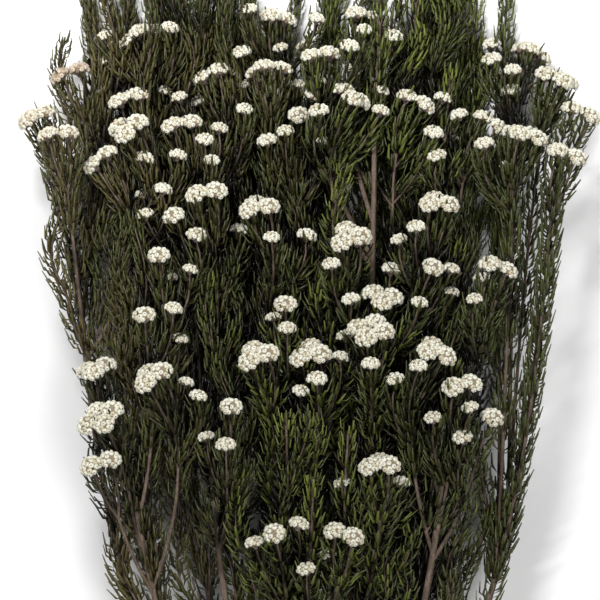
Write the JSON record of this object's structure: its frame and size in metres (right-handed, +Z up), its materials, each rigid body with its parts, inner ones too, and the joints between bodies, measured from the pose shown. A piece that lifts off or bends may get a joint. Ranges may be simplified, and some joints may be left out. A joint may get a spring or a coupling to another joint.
{
  "type": "preserved phylica stem",
  "caption": "Cut, preserved phylica stem lying on its side: forked woody stem, upright shoots closely set with small needle leaves, and small cream-white flower heads in clusters at the tips.",
  "frame": {"origin": "middle of the underside of the box round the whole stem, on the surface that it lies on", "axes": "+Y along the stem from its cut end to its tips, +X across the crown, +Z up from the surface"},
  "size_m": [0.2628, 0.5004, 0.0925],
  "materials": {
    "bark": "rough grey-brown bark",
    "leaves": "leathery olive green needle leaves on downy shoots, satin",
    "flowers": "felted cream white florets, matte"
  },
  "bodies": {
    "root": {"woody_stem": "bark", "leafy_branch_01": "leaves", "leafy_branch_02": "leaves", "leafy_branch_03": "leaves", "leafy_branch_04": "leaves", "leafy_branch_05": "leaves", "leafy_branch_06": "leaves", "leafy_branch_07": "leaves", "leafy_branch_08": "leaves", "leafy_branch_09": "leaves", "leafy_branch_10": "leaves", "leafy_branch_11": "leaves", "flower_cluster_01": "flowers", "flower_cluster_02": "flowers", "flower_cluster_03": "flowers", "flower_cluster_04": "flowers", "flower_cluster_05": "flowers", "flower_cluster_06": "flowers", "flower_cluster_07": "flowers", "flower_cluster_08": "flowers", "flower_cluster_09": "flowers", "flower_cluster_10": "flowers", "flower_cluster_11": "flowers", "flower_cluster_12": "flowers", "flower_cluster_13": "flowers", "flower_cluster_14": "flowers", "flower_cluster_15": "flowers", "flower_cluster_16": "flowers", "flower_cluster_17": "flowers", "flower_cluster_18": "flowers", "flower_cluster_19": "flowers", "flower_cluster_20": "flowers", "flower_cluster_21": "flowers", "flower_cluster_22": "flowers", "flower_cluster_23": "flowers", "flower_cluster_24": "flowers", "flower_cluster_25": "flowers", "flower_cluster_26": "flowers", "flower_cluster_27": "flowers", "flower_cluster_28": "flowers", "flower_cluster_29": "flowers", "flower_cluster_30": "flowers", "flower_cluster_31": "flowers", "flower_cluster_32": "flowers", "flower_cluster_33": "flowers", "flower_cluster_34": "flowers", "flower_cluster_35": "flowers", "flower_cluster_36": "flowers", "flower_cluster_37": "flowers", "flower_cluster_38": "flowers", "flower_cluster_39": "flowers", "flower_cluster_40": "flowers", "flower_cluster_41": "flowers", "flower_cluster_42": "flowers", "flower_cluster_43": "flowers", "flower_cluster_44": "flowers", "flower_cluster_45": "flowers", "flower_cluster_46": "flowers", "flower_cluster_47": "flowers", "flower_cluster_48": "flowers"}
  },
  "joints": []
}
